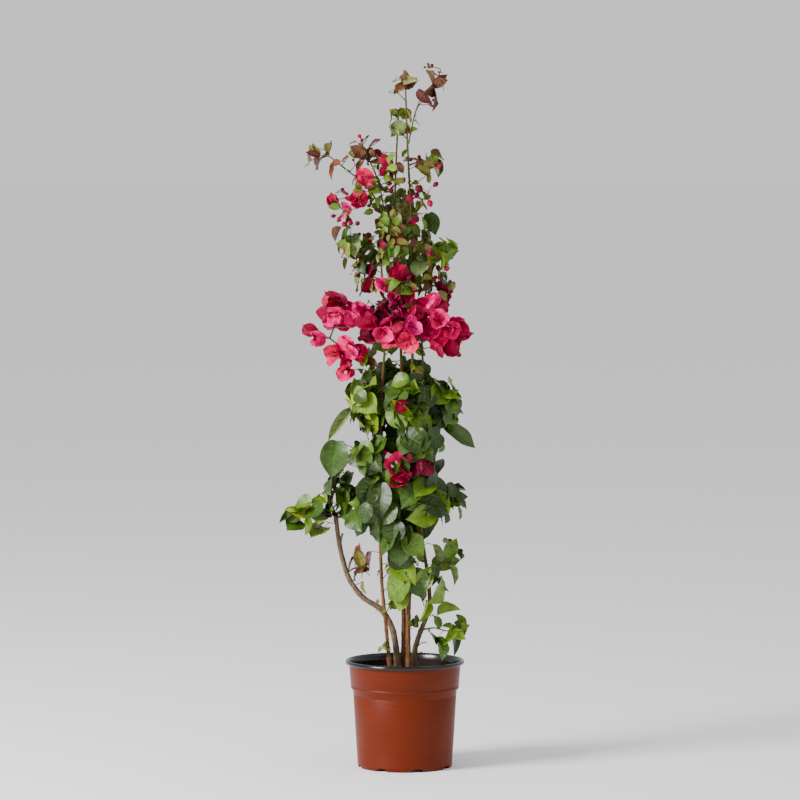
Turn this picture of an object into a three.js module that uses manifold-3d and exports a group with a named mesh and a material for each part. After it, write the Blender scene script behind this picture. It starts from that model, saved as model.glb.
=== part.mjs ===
// A bougainvillea grown as a slim column in a plastic grower's pot.
// Millimetres, +Z up. The origin is the middle of the pot's underside, and -Y is the plant's front.
import * as THREE from "three";
import { mergeVertices } from "three/addons/utils/BufferGeometryUtils.js";
import Module from "manifold-3d";

const wasm = await Module();
wasm.setup();

// ---- Driving dimensions -------------------------------------------------------------------

const POT = {
  height: 171,
  footRadius: 75,
  stepRadius: 83, // wall radius just under the stacking step
  bandRadius: 86, // wall radius just over it
  neckRadius: 89, // wall radius under the rim
  rimRadius: 95,
  stepHeight: 124,
  stepRise: 4, // height over which the wall widens at the step
  rimDepth: 7, // how far the rolled rim hangs down
  rimRound: 2, // how far the rim's edges and the foot's edge are taken off
  wall: 2.2,
  floor: 3,
  segments: 32,
};
const NOTCH = { count: 8, width: 17, depth: 9, height: 5, first: -74 }; // drain notches, degrees
const SOIL_TOP = 152;
const SOIL_EDGE = { drop: 2, width: 3, gap: 1 }; // the compost's rounded edge and its play in the pot
const GAP = 0.3; // clearance between pieces that touch

const LIMB = { sides: 6, step: 36 }; // facets round a limb and millimetres between its rings
const FLARE = { share: 0.4, reach: 14 }; // how much wider a stem's foot is, and how fast that fades
const LIMB_GAP = 0.6; // clearance between a limb and what is cut round it
const LUMP = 0.2; // how uneven a mass of foliage is, as a share of its radius
const MASS_GAP = 0.8; // clearance between two masses that meet
const FINE_MASS = 44; // a mass whose smallest half size is over this gets finer facets

// Stems and boughs: waypoints of the centreline from foot to tip, the radius at each end, and how
// fast the radius falls between them (1 is even, less is a thick foot under a thin shoot).
const STEMS = {
  stem_left: {
    foot: 3.0,
    tip: 1.1,
    fall: 1,
    path: [
      [-23, -18, SOIL_TOP], [-30, -19, 225], [-37, -20, 300], [-39, -20, 390], [-40, -16, 480],
      [-36, -10, 610], [-31, -8, 700], [-37, -4, 800], [-33, -2, 885], [-48, 0, 949], [-62, 2, 978],
    ],
  },
  stem_centre: {
    foot: 3.8,
    tip: 1.2,
    fall: 1,
    path: [
      [-3, 9, SOIL_TOP], [-2, 9, 235], [-3, 10, 330], [-7, 12, 430], [-6, 12, 520],
      [-6, 10, 650], [-12, 10, 790], [-16, 8, 870], [-14, 6, 960], [-10, 4, 1045],
    ],
  },
  stem_leader: {
    foot: 4.2,
    tip: 1.3,
    fall: 0.7,
    path: [
      [6, -13, SOIL_TOP], [5, -12, 225], [9, -10, 330], [10, -6, 450], [12, -4, 600],
      [12, -2, 700], [13, 0, 810], [9, 0, 900], [4, 0, 990], [1, 0, 1076],
    ],
  },
  stem_right: {
    foot: 5.2,
    tip: 1.8,
    fall: 0.5,
    path: [
      [15, 4, SOIL_TOP], [18, 4, 200], [31, 4, 229], [40, 5, 258], [38, 6, 292], [31, 6, 342],
      [25, 8, 380], [34, 12, 428], [45, 12, 465], [48, 8, 524],
    ],
  },
  stem_bow_low: {
    foot: 5.0,
    tip: 3.6,
    fall: 1,
    path: [
      [-10, -3, SOIL_TOP], [-18, 0, 213], [-30, 3, 243], [-52, 6, 260], [-78, 6, 280],
      [-96, 4, 320], [-106, 2, 365],
    ],
  },
};
const BOUGHS = {
  stem_bow_high: {
    from: "stem_bow_low",
    foot: 3.6,
    tip: 1.8,
    fall: 1,
    path: [
      [-106, 2, 367.4], [-109, 0, 395], [-119, -4, 420], [-121, -6, 440], [-111, -6, 462],
      [-92, -4, 488], [-78, -2, 515],
    ],
  },
  bough_right: {
    from: "stem_right",
    foot: 2.6,
    tip: 1.2,
    fall: 1,
    path: [
      [25, 9, 376], [22, 18, 430], [27, 18, 520], [30, 14, 610], [27, 12, 700], [35, 10, 765],
      [50, 6, 808],
    ],
  },
  shoot_upper_left: {
    from: "stem_left",
    foot: 1.5,
    tip: 0.9,
    fall: 1,
    path: [[-33, -2, 880], [-56, -5, 920], [-88, -7, 948], [-118, -8, 972]],
  },
  shoot_top_right: {
    from: "stem_leader",
    foot: 1.4,
    tip: 0.9,
    fall: 1,
    path: [[4, 0, 985], [10, -2, 1014], [16, -4, 1040], [25, -6, 1066]],
  },
};

// Masses of foliage: the middle, the half sizes, and for a slanting one its tilt in degrees (down to +X).
const MASSES = {
  young_top: { at: [1, 2, 1089], half: [25, 20, 18] },
  young_top_right: { at: [46, -8, 1083], half: [24, 16, 45] },
  young_top_low: { at: [-3, 6, 1033], half: [31, 22, 23] },
  young_far_left: { at: [-126, -8, 967], half: [36, 18, 40] },
  young_upper_left: { at: [-62, 2, 977], half: [31, 22, 37] },
  bracts_upper_left: { at: [-60, -14, 916], half: [25, 20, 31] },
  bracts_far_upper_left: { at: [-103, -4, 893], half: [20, 16, 33] },
  bracts_upper_centre: { at: [-20, -20, 950], half: [23, 19, 30] },
  leaves_upper_middle: { at: [-32, 26, 916], half: [32, 22, 44] },
  leaves_upper_right: { at: [37, 6, 960], half: [27, 24, 29] },
  bracts_upper_right: { at: [28, -8, 905], half: [15, 16, 29] },
  leaves_left_middle: { at: [-90, -2, 832], half: [22, 18, 46] },
  leaves_core: { at: [-17, -30, 842], half: [39, 32, 52] },
  leaves_core_left: { at: [-64, 12, 800], half: [26, 32, 54] },
  leaves_back_upper: { at: [2, 50, 842], half: [44, 32, 66] },
  leaves_right_middle: { at: [36, -2, 800], half: [26, 34, 54] },
  leaves_right_tip: { at: [68, -4, 822], half: [19, 18, 30] },
  bracts_right_middle: { at: [62, -2, 765], half: [20, 20, 28] },
  bracts_core: { at: [-6, -42, 768], half: [32, 26, 32] },
  bracts_left_high: { at: [-101, -12, 722], half: [32, 30, 35] },
  bracts_far_left: { at: [-137, -12, 690], half: [18, 16, 20] },
  bracts_left_low: { at: [-90, -12, 660], half: [30, 26, 31] },
  bracts_centre_left: { at: [-50, -42, 714], half: [32, 30, 38] },
  bracts_centre: { at: [0, -50, 710], half: [32, 28, 36] },
  bracts_centre_right: { at: [38, -24, 722], half: [28, 32, 37] },
  bracts_right: { at: [74, -7, 688], half: [32, 26, 36] },
  bracts_back: { at: [-14, 46, 706], half: [66, 36, 44] },
  leaves_gap_left: { at: [-62, 2, 648], half: [20, 22, 24] },
  leaves_left_high: { at: [-64, -10, 580], half: [32, 36, 54] },
  leaf_left_long: { at: [-103, -12, 550], half: [34, 10, 12], tilt: -53 },
  leaf_left_large: { at: [-113, -14, 492], half: [26, 16, 35] },
  leaves_left_low: { at: [-56, -30, 500], half: [36, 34, 29] },
  leaves_centre_high: { at: [2, -46, 588], half: [38, 34, 42] },
  leaves_right_high: { at: [60, -8, 580], half: [32, 40, 40] },
  leaves_centre_middle: { at: [26, -50, 526], half: [40, 32, 30] },
  leaf_right_far: { at: [91, -10, 528], half: [34, 11, 15], tilt: 32 },
  leaves_back_middle: { at: [0, 56, 566], half: [66, 46, 70] },
  bracts_low: { at: [-4, -58, 480], half: [40, 24, 29] },
  leaves_far_left: { at: [-152, -6, 401], half: [45, 20, 29] },
  leaves_bow: { at: [-104, 0, 434], half: [30, 32, 44] },
  leaves_centre_left: { at: [-50, -34, 416], half: [42, 42, 46] },
  leaves_centre_low: { at: [-12, -46, 362], half: [35, 28, 36] },
  leaves_centre_right: { at: [28, -34, 432], half: [42, 42, 33] },
  leaves_right_out: { at: [71, -4, 430], half: [31, 26, 34] },
  leaves_back_low: { at: [-4, 54, 424], half: [68, 46, 66] },
  leaves_low_left: { at: [-68, -6, 318], half: [22, 14, 40] },
  leaves_right_tail: { at: [67, -2, 330], half: [15, 13, 52], tilt: -18 },
  leaves_low_middle: { at: [22, -32, 286], half: [42, 22, 56] },
  leaves_low_right: { at: [70, -10, 218], half: [36, 22, 39] },
};

// ---- Materials ----------------------------------------------------------------------------

const matte = (color, roughness) => new THREE.MeshStandardMaterial({ color, roughness, metalness: 0 });
const MATERIALS = {
  pot: matte(0x9c4527, 0.5),
  soil: matte(0x2e2119, 0.95),
  bark: matte(0x8a6a4c, 0.85),
  young: matte(0x6b4a2c, 0.55),
  leaves: matte(0x3f5f24, 0.5),
  bracts: matte(0xc41e48, 0.6),
};
const materialOfMass = (name) => MATERIALS[name.split("_")[0].replace("leaf", "leaves")];

// ---- Solids -------------------------------------------------------------------------------

// A closed geometry as a manifold solid.
function solidOf(geometry) {
  const bare = geometry.clone();
  bare.deleteAttribute("normal");
  bare.deleteAttribute("uv");
  const merged = mergeVertices(bare, 1e-4);
  return new wasm.Manifold(
    new wasm.Mesh({
      numProp: 3,
      vertProperties: new Float32Array(merged.attributes.position.array),
      triVerts: new Uint32Array(merged.index.array),
    }),
  );
}

// The largest single body of a solid, because a cut can leave crumbs.
function largestBody(solid) {
  return solid.decompose().reduce((a, b) => (a.volume() > b.volume() ? a : b));
}

function geometryOf(solid) {
  const mesh = solid.getMesh();
  const geometry = new THREE.BufferGeometry();
  geometry.setAttribute("position", new THREE.BufferAttribute(mesh.vertProperties, 3));
  geometry.setIndex(new THREE.BufferAttribute(mesh.triVerts, 1));
  geometry.computeVertexNormals();
  return geometry;
}

// A mesh named as its node, with its origin at the given point.
function place(name, solid, material, at = [0, 0, 0]) {
  const mesh = new THREE.Mesh(geometryOf(solid), material);
  mesh.name = name;
  mesh.geometry.translate(-at[0], -at[1], -at[2]);
  mesh.position.fromArray(at);
  return mesh;
}

// ---- Pot and soil -------------------------------------------------------------------------

const innerRadius = (z) =>
  THREE.MathUtils.mapLinear(z, 0, POT.stepHeight, POT.footRadius, POT.stepRadius) - POT.wall;

// A lathe turns about Y, so it is stood up on Z.
const lathe = (profile) =>
  new THREE.LatheGeometry(profile.map(([r, z]) => new THREE.Vector2(r, z)), POT.segments).rotateX(
    Math.PI / 2,
  );

function pot() {
  const { height, footRadius, rimRadius, rimDepth, rimRound, neckRadius, wall, stepHeight, stepRise } = POT;
  const outside = [
    [0, 0],
    [footRadius - rimRound, 0],
    [footRadius, rimRound],
    [POT.stepRadius, stepHeight],
    [POT.bandRadius, stepHeight + stepRise],
    [neckRadius, height - rimDepth - rimRound],
    [rimRadius - rimRound / 2, height - rimDepth],
    [rimRadius, height - rimRound],
    [rimRadius - rimRound, height],
  ];
  const inside = [
    [neckRadius - wall + rimRound / 2, height - rimRound],
    [POT.bandRadius - wall, stepHeight + stepRise + wall / 2],
    [innerRadius(stepHeight), stepHeight + wall / 2],
    [innerRadius(POT.floor), POT.floor],
    [0, POT.floor],
  ];
  let solid = solidOf(lathe([...outside, ...inside]));
  for (let i = 0; i < NOTCH.count; i++) {
    const turn = THREE.MathUtils.degToRad(NOTCH.first + (i * 360) / NOTCH.count - 90);
    const block = new THREE.BoxGeometry(NOTCH.depth, NOTCH.width, 2 * NOTCH.height);
    block.translate(footRadius, 0, 0).rotateZ(turn);
    solid = solid.subtract(solidOf(block));
  }
  return place("pot", solid, MATERIALS.pot);
}

function soil() {
  const low = POT.floor + GAP;
  const edge = POT.bandRadius - POT.wall - SOIL_EDGE.gap;
  const profile = [
    [0, low],
    [innerRadius(low) - GAP, low],
    [innerRadius(POT.stepHeight) - GAP, POT.stepHeight],
    [edge, SOIL_TOP - SOIL_EDGE.drop],
    [edge - SOIL_EDGE.width, SOIL_TOP],
    [0, SOIL_TOP],
  ];
  return place("soil", solidOf(lathe(profile)), MATERIALS.soil);
}

// ---- Limbs --------------------------------------------------------------------------------

// A closed tube that tapers along a smooth curve; a flat foot is cut level where a stem leaves the soil.
function limbGeometry({ path, foot, tip, fall }, { clearance = 0, flatFoot = false } = {}) {
  const { sides, step } = LIMB;
  const curve = new THREE.CatmullRomCurve3(path.map((p) => new THREE.Vector3(...p)), false, "centripetal");
  const steps = Math.max(3, Math.round(curve.getLength() / step));
  const frames = curve.computeFrenetFrames(steps);
  const positions = [];
  for (let i = 0; i <= steps; i++) {
    const middle = curve.getPointAt(i / steps);
    const flare = flatFoot ? FLARE.share * Math.exp((path[0][2] - middle.z) / FLARE.reach) : 0;
    const radius = THREE.MathUtils.lerp(foot, tip, (i / steps) ** fall) * (1 + flare) + clearance;
    for (let k = 0; k < sides; k++) {
      const turn = (2 * Math.PI * k) / sides;
      const point = middle.clone();
      point.addScaledVector(frames.normals[i], radius * Math.cos(turn));
      point.addScaledVector(frames.binormals[i], radius * Math.sin(turn));
      if (flatFoot && i === 0) point.z = path[0][2] + GAP;
      positions.push(...point.toArray());
    }
  }
  const index = [];
  for (let i = 0; i < steps; i++)
    for (let k = 0; k < sides; k++) {
      const a = i * sides + k;
      const b = i * sides + ((k + 1) % sides);
      index.push(a, b, b + sides, a, b + sides, a + sides);
    }
  const last = steps * sides;
  for (let k = 1; k < sides - 1; k++) {
    index.push(0, k + 1, k);
    index.push(last, last + k, last + k + 1);
  }
  const geometry = new THREE.BufferGeometry();
  geometry.setAttribute("position", new THREE.Float32BufferAttribute(positions, 3));
  geometry.setIndex(index);
  return geometry;
}

// ---- Foliage ------------------------------------------------------------------------------

// An uneven ball that fills the given half sizes, its lumps set by the seed.
function massGeometry({ at, half, tilt = 0 }, seed, grow = 0) {
  const detail = Math.min(...half) > FINE_MASS ? 2 : 1;
  const ball = new THREE.IcosahedronGeometry(1, detail);
  const points = ball.attributes.position;
  const point = new THREE.Vector3();
  for (let i = 0; i < points.count; i++) {
    point.fromBufferAttribute(points, i);
    const lump =
      Math.sin(3.1 * point.x + 1.3 * seed) +
      Math.sin(2.7 * point.y + 2.1 * seed) +
      Math.sin(3.7 * point.z + 3.7 * seed);
    point.multiplyScalar(1 + (LUMP * lump) / 2);
    points.setXYZ(i, point.x, point.y, point.z);
  }
  ball.computeBoundingBox();
  const size = ball.boundingBox.getSize(new THREE.Vector3());
  ball.center();
  ball.scale(...half.map((h, i) => (2 * (h + grow)) / size.getComponent(i)));
  ball.rotateY(THREE.MathUtils.degToRad(tilt));
  return ball.translate(...at);
}

// ---- The plant ----------------------------------------------------------------------------

const limbs = { ...STEMS, ...BOUGHS };
const limbSolid = (name, options) => solidOf(limbGeometry(limbs[name], options));

function makeLimbs() {
  const group = new THREE.Group();
  for (const name of Object.keys(STEMS))
    group.add(place(name, limbSolid(name, { flatFoot: true }), MATERIALS.bark));
  for (const name of Object.keys(BOUGHS)) {
    const parent = limbSolid(BOUGHS[name].from, { clearance: LIMB_GAP });
    group.add(place(name, largestBody(limbSolid(name).subtract(parent)), MATERIALS.bark));
  }
  return group;
}

// Each mass is cleared of every limb and of the masses made before it.
function makeMasses() {
  const group = new THREE.Group();
  const clearLimbs = Object.keys(limbs).map((name) =>
    limbSolid(name, { clearance: LIMB_GAP, flatFoot: name in STEMS }),
  );
  const taken = [];
  Object.entries(MASSES).forEach(([name, mass], i) => {
    let solid = solidOf(massGeometry(mass, i + 1));
    for (const other of [...clearLimbs, ...taken]) solid = solid.subtract(other);
    group.add(place(name, largestBody(solid), materialOfMass(name), mass.at));
    taken.push(solidOf(massGeometry(mass, i + 1, MASS_GAP)));
  });
  return group;
}

const plant = new THREE.Group();
plant.add(pot(), soil(), makeLimbs(), makeMasses());

export default plant;
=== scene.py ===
"""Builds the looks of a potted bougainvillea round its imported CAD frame.

+Z is up and -Y is the plant's front. Sizes and places are named in millimetres, as they are in the
CAD source, and turned into metres where a mesh is made.
"""

import math

import bpy
import numpy as np
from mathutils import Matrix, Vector, noise


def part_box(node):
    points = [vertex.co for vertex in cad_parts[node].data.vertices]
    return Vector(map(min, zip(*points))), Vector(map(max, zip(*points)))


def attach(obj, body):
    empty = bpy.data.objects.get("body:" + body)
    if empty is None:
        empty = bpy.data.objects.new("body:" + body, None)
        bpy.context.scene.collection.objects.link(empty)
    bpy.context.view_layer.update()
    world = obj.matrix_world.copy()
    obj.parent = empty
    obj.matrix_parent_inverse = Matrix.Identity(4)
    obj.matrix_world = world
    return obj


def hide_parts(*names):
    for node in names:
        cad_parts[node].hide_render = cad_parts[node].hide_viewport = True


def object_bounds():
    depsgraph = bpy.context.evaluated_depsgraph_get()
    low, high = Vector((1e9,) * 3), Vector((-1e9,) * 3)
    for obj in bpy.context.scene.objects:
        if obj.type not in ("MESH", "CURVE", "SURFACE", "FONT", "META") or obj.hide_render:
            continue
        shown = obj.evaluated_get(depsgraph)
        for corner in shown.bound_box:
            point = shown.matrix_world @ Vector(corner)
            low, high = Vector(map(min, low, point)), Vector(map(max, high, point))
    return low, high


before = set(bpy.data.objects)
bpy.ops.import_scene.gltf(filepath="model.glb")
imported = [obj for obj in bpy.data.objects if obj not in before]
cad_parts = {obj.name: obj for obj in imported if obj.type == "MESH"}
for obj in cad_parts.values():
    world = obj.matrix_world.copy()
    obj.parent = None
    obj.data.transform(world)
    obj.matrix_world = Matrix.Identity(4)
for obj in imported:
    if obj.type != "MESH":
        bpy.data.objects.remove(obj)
CAD_BOX = [list(corner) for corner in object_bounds()]

MM = 0.001
TINY = 1e-9  # shorter than any true vector
UP = np.array([0.0, 0.0, 1.0])
FRONT = np.array([0.0, -1.0, 0.0])
rng = np.random.default_rng(11)

# ---- Colours: screen red, green and blue, then roughness ----------------------------------

COLOURS = {
    "pot_outside": ((92, 28, 3), 0.42),
    "lip_black": ((9, 8, 9), 0.2),
    "pot_lining": ((26, 9, 8), 0.6),
    "soil": ((44, 33, 26), 0.95),
    "crumb": ((66, 49, 36), 0.95),
    "bark_brown": ((98, 66, 40), 0.8),
    "bark_grey": ((98, 80, 62), 0.85),
    "bark_green": ((74, 68, 30), 0.7),
    "twig_brown": ((76, 50, 30), 0.7),
    "twig_green": ((78, 88, 28), 0.6),
    "twig_red": ((92, 38, 28), 0.6),
    "thorn": ((92, 60, 40), 0.6),
    "leaf_deep": ((37, 55, 12), 0.36),
    "leaf_dark": ((52, 77, 16), 0.36),
    "leaf_mid": ((77, 106, 18), 0.38),
    "leaf_fresh": ((100, 127, 18), 0.42),
    "leaf_lime": ((126, 142, 34), 0.48),
    "leaf_grey": ((100, 118, 66), 0.5),
    "young_olive": ((98, 94, 32), 0.4),
    "young_bronze": ((84, 54, 28), 0.4),
    "young_rust": ((98, 50, 24), 0.42),
    "young_plum": ((76, 30, 32), 0.42),
    "bract_pink": ((222, 8, 106), 0.55),
    "bract_magenta": ((206, 0, 108), 0.55),
    "bract_coral": ((206, 14, 80), 0.55),
    "bract_crimson": ((146, 2, 52), 0.55),
    "bract_maroon": ((88, 10, 34), 0.55),
    "rib_dark": ((66, 98, 34), 0.45),
    "rib_green": ((100, 132, 44), 0.45),
    "rib_pale": ((160, 172, 88), 0.45),
    "rib_olive": ((118, 112, 48), 0.45),
    "rib_bronze": ((100, 60, 36), 0.45),
    "rib_red": ((170, 10, 60), 0.55),
    "bud": ((92, 12, 32), 0.5),
    "flower_tube": ((140, 24, 60), 0.55),
    "flower_star": ((246, 238, 214), 0.5),
}
PALETTES = {  # the colours that a leaf, bract or bud can have, by weight
    "shade": {"leaf_deep": 5, "leaf_dark": 4, "leaf_mid": 1},
    "full": {"leaf_deep": 5, "leaf_dark": 6, "leaf_mid": 4, "leaf_fresh": 1},
    "light": {"leaf_dark": 5, "leaf_mid": 4, "leaf_fresh": 2, "leaf_lime": 1},
    "upper": {"leaf_dark": 1, "leaf_mid": 2, "young_olive": 5, "young_bronze": 1, "leaf_fresh": 3,
              "leaf_grey": 1},
    "dull": {"leaf_grey": 4, "leaf_mid": 2, "leaf_dark": 1},
    "mixed": {"leaf_mid": 4, "leaf_fresh": 3, "leaf_lime": 1, "leaf_dark": 3, "young_olive": 2},
    "core": {"leaf_dark": 2, "leaf_mid": 4, "young_olive": 6, "leaf_deep": 1, "young_bronze": 3,
             "bract_maroon": 1},
    "young": {"young_olive": 3, "young_bronze": 4, "young_rust": 2, "young_plum": 2},
    "pink": {"bract_pink": 5, "bract_magenta": 3, "bract_coral": 2, "bract_crimson": 3},
    "band": {"bract_crimson": 5, "bract_pink": 5, "bract_magenta": 3, "bract_coral": 3, "bract_maroon": 1},
    "crimson": {"bract_crimson": 4, "bract_magenta": 2, "bract_maroon": 2, "bract_pink": 1},
    "maroon": {"bract_maroon": 3, "bract_crimson": 3},
}


def linear(screen):
    """Screen red, green and blue as the linear values that a shader takes."""
    share = np.array(screen) / 255
    return np.where(share <= 0.04045, share / 12.92, ((share + 0.055) / 1.055) ** 2.4)


GRAINS = {  # noise scale along x, y and z per metre, colour contrast, bump in mm, specular level
    "pot": ((14, 14, 420), 0.1, 0.08, 0.14),
    "lip": ((60, 60, 60), 0.1, 0.02, 0.45),
    "soil": ((420, 420, 420), 0.45, 1.2, 0.1),
    "crumb": ((420, 420, 420), 0.4, 0.8, 0.1),
    "bark": ((420, 420, 60), 0.42, 0.5, 0.15),
    "twig": ((500, 500, 120), 0.3, 0.15, 0.2),
    "thorn": ((500, 500, 120), 0.2, 0.05, 0.2),
    "leaf": ((90, 90, 90), 0.34, 0.5, 0.3),
    "young": ((110, 110, 110), 0.36, 0.3, 0.25),
    "rib": ((200, 200, 200), 0.15, 0.05, 0.25),
    "bract": ((130, 130, 130), 0.52, 0.5, 0.12),
    "bud": ((300, 300, 300), 0.3, 0.2, 0.2),
    "flower": ((300, 300, 300), 0.12, 0.05, 0.2),
}
GRAIN_DETAIL = 4
GRAIN_SPAN = (0.32, 0.7)  # noise values at which the darkest and the lightest shade are reached


def make_material(name):
    """A shader whose colour wanders round its base, with a bump, both at the scale of its kind."""
    screen, roughness = COLOURS[name]
    scale, contrast, height, gloss = GRAINS[name.split("_")[0]]
    material = bpy.data.materials.new(name)
    material.use_nodes = True
    nodes, links = material.node_tree.nodes, material.node_tree.links
    shader = nodes["Principled BSDF"]
    shader.inputs["Roughness"].default_value = roughness
    shader.inputs["Specular IOR Level"].default_value = gloss
    place = nodes.new("ShaderNodeTexCoord")
    stretch = nodes.new("ShaderNodeMapping")
    stretch.inputs["Scale"].default_value = scale
    grain = nodes.new("ShaderNodeTexNoise")
    grain.inputs["Scale"].default_value = 1
    grain.inputs["Detail"].default_value = GRAIN_DETAIL
    ramp = nodes.new("ShaderNodeValToRGB")
    for stop, position, shade in zip(ramp.color_ramp.elements, GRAIN_SPAN, (1 - contrast, 1 + contrast)):
        stop.position = position
        stop.color = (*linear(screen) * shade, 1)
    bump = nodes.new("ShaderNodeBump")
    bump.inputs["Distance"].default_value = height * MM
    links.new(place.outputs["Object"], stretch.inputs["Vector"])
    links.new(stretch.outputs["Vector"], grain.inputs["Vector"])
    links.new(grain.outputs["Fac"], ramp.inputs["Fac"])
    links.new(ramp.outputs["Color"], shader.inputs["Base Color"])
    links.new(grain.outputs["Fac"], bump.inputs["Height"])
    links.new(bump.outputs["Normal"], shader.inputs["Normal"])
    return material


MATERIALS = {name: make_material(name) for name in COLOURS}


def pick(palette):
    """One colour of a palette, by its weights."""
    names = list(PALETTES[palette])
    weights = np.array([PALETTES[palette][name] for name in names], float)
    return names[rng.choice(len(names), p=weights / weights.sum())]


# ---- Meshes -------------------------------------------------------------------------------


class Pile:
    """Small meshes of one kind, gathered into one object. Points are in millimetres."""

    def __init__(self, name, slot):
        self.name = name
        self.slot = slot
        self.points = []
        self.triangles = []
        self.looks = []
        self.colours = []
        self.count = 0

    def add(self, points, triangles, colour):
        """Takes one colour for all the triangles, or one for each of them."""
        looks = np.zeros(len(triangles), int)
        for name in np.unique(colour):
            if name not in self.colours:
                self.colours.append(str(name))
            looks[np.broadcast_to(colour, looks.shape) == name] = self.colours.index(name)
        self.points.append(points)
        self.triangles.append(triangles + self.count)
        self.looks.append(looks)
        self.count += len(points)

    def build(self, *replaced):
        """Makes the object, in metres, and hides the CAD nodes that it stands in for."""
        points = np.concatenate(self.points) * MM
        triangles = np.concatenate(self.triangles)
        mesh = bpy.data.meshes.new(self.name)
        mesh.vertices.add(len(points))
        mesh.vertices.foreach_set("co", points.ravel())
        mesh.loops.add(triangles.size)
        mesh.loops.foreach_set("vertex_index", triangles.ravel())
        mesh.polygons.add(len(triangles))
        mesh.polygons.foreach_set("loop_start", np.arange(0, triangles.size, 3))
        for colour in self.colours:
            mesh.materials.append(MATERIALS[colour])
        mesh.polygons.foreach_set("material_index", np.concatenate(self.looks))
        mesh.polygons.foreach_set("use_smooth", np.ones(len(triangles), bool))
        mesh.update(calc_edges=True)
        piece = bpy.data.objects.new(self.name, mesh)
        bpy.context.scene.collection.objects.link(piece)
        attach(piece, "root")
        if replaced:
            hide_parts(*replaced)


def unit(vector):
    """The direction of a vector, with a length of one."""
    return vector / max(np.linalg.norm(vector), TINY)


def grid_triangles(rows, columns, wrap=False):
    """Triangles of a grid of points stored row by row; wrap joins the last column to the first."""
    across = columns if wrap else columns - 1
    row, column = np.meshgrid(np.arange(rows - 1), np.arange(across), indexing="ij")
    a = row * columns + column
    b = row * columns + (column + 1) % columns
    lower = np.stack([a, b, b + columns], -1).reshape(-1, 3)
    upper = np.stack([a, b + columns, a + columns], -1).reshape(-1, 3)
    return np.concatenate([lower, upper])


CURVE_STEPS = 12  # points worked out between two given ones, before they are spaced evenly


def smooth_path(points, step):
    """Evenly spaced points along the centripetal Catmull-Rom curve through the given ones."""
    p = np.array(points, float)
    p = np.vstack([2 * p[0] - p[1], p, 2 * p[-1] - p[-2]])
    t = np.concatenate([[0], np.cumsum(np.linalg.norm(np.diff(p, axis=0), axis=1) ** 0.5)])
    dense = []
    for i in range(1, len(p) - 2):
        u = np.linspace(t[i], t[i + 1], CURVE_STEPS, endpoint=False)[:, None]
        a = [
            (t[k + 1] - u) / (t[k + 1] - t[k]) * p[k] + (u - t[k]) / (t[k + 1] - t[k]) * p[k + 1]
            for k in (i - 1, i, i + 1)
        ]
        b = [
            (t[k + 2] - u) / (t[k + 2] - t[k]) * a[k - i + 1]
            + (u - t[k]) / (t[k + 2] - t[k]) * a[k - i + 2]
            for k in (i - 1, i)
        ]
        dense.append((t[i + 1] - u) / (t[i + 1] - t[i]) * b[0] + (u - t[i]) / (t[i + 1] - t[i]) * b[1])
    dense = np.vstack([*dense, p[-2]])
    far = np.concatenate([[0], np.cumsum(np.linalg.norm(np.diff(dense, axis=0), axis=1))])
    even = np.linspace(0, far[-1], max(3, int(far[-1] / step) + 2))
    return np.stack([np.interp(even, far, dense[:, k]) for k in range(3)], -1)


ANY_SIDE = [0.3, 1.0, 0.2]  # any direction that a tube doesn't start along


def tube(path, radii, sides, relief=None):
    """A tube with closed ends. relief gives each ring's radius factors from its angles and distance."""
    tangents = np.gradient(path, axis=0)
    tangents /= np.linalg.norm(tangents, axis=1)[:, None]
    side = unit(np.cross(tangents[0], ANY_SIDE))
    turn = np.linspace(0, 2 * math.pi, sides, endpoint=False)
    far = np.concatenate([[0], np.cumsum(np.linalg.norm(np.diff(path, axis=0), axis=1))])
    rings = []
    for middle, tangent, radius, along in zip(path, tangents, radii, far):
        side = unit(side - tangent * side.dot(tangent))
        other = np.cross(tangent, side)
        r = radius * (relief(turn, along) if relief else np.ones(sides))
        rings.append(middle + np.outer(r * np.cos(turn), side) + np.outer(r * np.sin(turn), other))
    points = np.vstack([*rings, path[0], path[-1]])
    first, last = len(points) - 2, len(points) - 1
    top = (len(path) - 1) * sides
    k = np.arange(sides)
    after = (k + 1) % sides
    ends = [
        np.stack([np.full(sides, first), after, k], -1),
        np.stack([np.full(sides, last), top + k, top + after], -1),
    ]
    return points, np.concatenate([grid_triangles(len(path), sides, wrap=True), *ends])


EGG_ROWS = np.linspace(0.04, 0.96, 6)  # shares of an egg's length at which its rings stand
EGG_SIDES = 7
EGG_BLUNTNESS = 0.8


def blob(centre, axis, length, width):
    """A small closed egg along an axis, for buds and crumbs."""
    path = centre + np.outer((EGG_ROWS - 0.5) * length, axis)
    radii = width / 2 * np.sin(EGG_ROWS * math.pi) ** EGG_BLUNTNESS
    return tube(path, radii, EGG_SIDES)


# ---- Blades: a leaf or bract with its base at the origin, x along it, y across, z off its face --

OUTLINES = {  # where along its length a blade is widest, and how far its tip is drawn out
    "leaf": (0.42, 1.55),
    "narrow": (0.36, 1.3),
    "bract": (0.5, 0.85),
}
BLADE_COLUMNS = (-1, -0.6, -0.03, 0.03, 0.6, 1)  # shares of half the width; the midrib is in the middle
# The rest are shares of the length.
END_ROWS = [0, 0.012, 0.04, 0.085, 0.88, 1]  # rows of points that no vein needs
SIDE_VEINS = 5
FIRST_VEIN = 0.13
VEIN_GAP = 0.14
VEIN_HALF = 0.007
VEIN_SLANT = 0.16  # how far a side vein runs towards the tip on its way to the margin
VEIN_ROWS = [FIRST_VEIN + VEIN_GAP * k for k in range(SIDE_VEINS)]
BLADE_ROWS = sorted(
    END_ROWS + [row + off for row in VEIN_ROWS for off in (-VEIN_HALF, VEIN_HALF, VEIN_GAP / 2)]
)


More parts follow.
